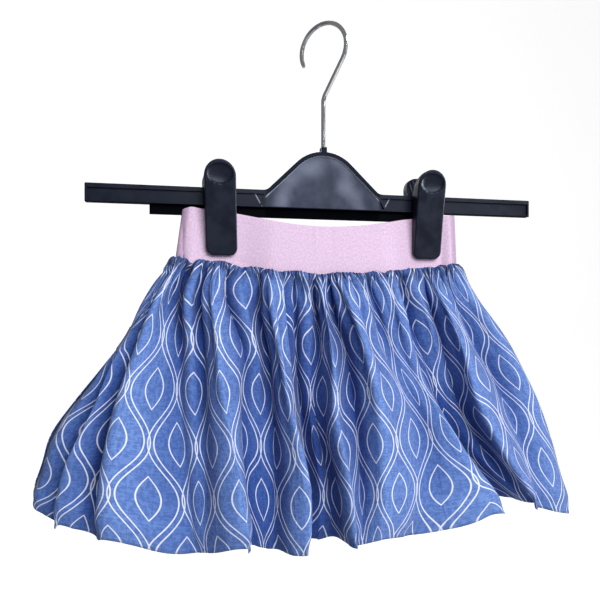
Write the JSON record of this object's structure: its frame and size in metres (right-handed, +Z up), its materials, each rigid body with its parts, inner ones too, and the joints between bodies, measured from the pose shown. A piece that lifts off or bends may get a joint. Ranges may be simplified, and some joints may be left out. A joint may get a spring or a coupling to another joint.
{
  "type": "skirt on a clip hanger",
  "caption": "Toddler's gathered skirt with a knit waistband, held by the clips of a plastic hanger with a wire hook.",
  "frame": {"origin": "inner top of the hook, where a rod or wall hook carries the hanger", "axes": "+X along the hanger's bar towards the wearer's left as worn, -Y the skirt's front, +Z up"},
  "size_m": [0.4089, 0.0852, 0.3708],
  "materials": {
    "knit": "fine doubled knit, pale pink",
    "chambray": "plain-weave blue chambray with a thin white line print",
    "plastic": "moulded black with a soft sheen",
    "chrome": "bright plated wire",
    "steel": "plain spring wire"
  },
  "bodies": {
    "root": {"waistband_front": "knit", "waistband_back": "knit", "skirt_front": "chambray", "skirt_back": "chambray", "hanger_body": "plastic", "hook": "chrome", "clip_left_front": "plastic", "clip_left_back": "plastic", "clip_right_front": "plastic", "clip_right_back": "plastic", "clip_left_spring": "steel", "clip_right_spring": "steel"}
  },
  "joints": []
}
